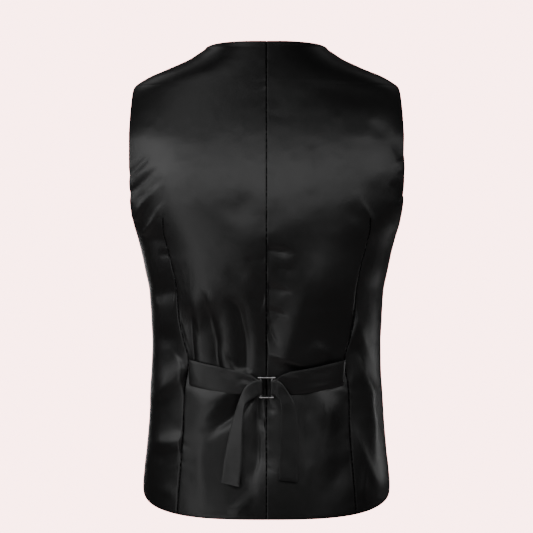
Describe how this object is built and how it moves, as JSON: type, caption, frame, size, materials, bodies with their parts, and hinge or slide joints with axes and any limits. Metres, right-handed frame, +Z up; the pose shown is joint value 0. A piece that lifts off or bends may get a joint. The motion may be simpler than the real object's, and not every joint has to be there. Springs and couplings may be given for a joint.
{
  "type": "satin-backed waistcoat",
  "caption": "Hollow worn waistcoat with a V neck, pointed fronts, darted satin backs and a cinch belt looped through a wire buckle.",
  "frame": {"origin": "midway between the two shoulder seams, at their mean height, where the shoulders carry it", "axes": "+Z up, -Y out of the buttoned fronts, +Y out of the satin back, +X towards the wearer's left"},
  "size_m": [0.3738, 0.2374, 0.6625],
  "materials": {
    "back_satin": "black warp-faced satin with a soft broad sheen",
    "front_suiting": "black fine-twill suiting, nearly matt",
    "strap_satin": "black satin, doubled and pressed",
    "buckle_metal": "bright nickel-plated wire",
    "button_resin": "black polished resin"
  },
  "bodies": {
    "root": {"back_left": "back_satin", "back_right": "back_satin", "front_left": "front_suiting", "front_right": "front_suiting", "strap_left": "strap_satin", "strap_right": "strap_satin", "buckle": "buckle_metal", "button_1": "button_resin", "button_2": "button_resin", "button_3": "button_resin", "button_4": "button_resin", "button_5": "button_resin"}
  },
  "joints": []
}
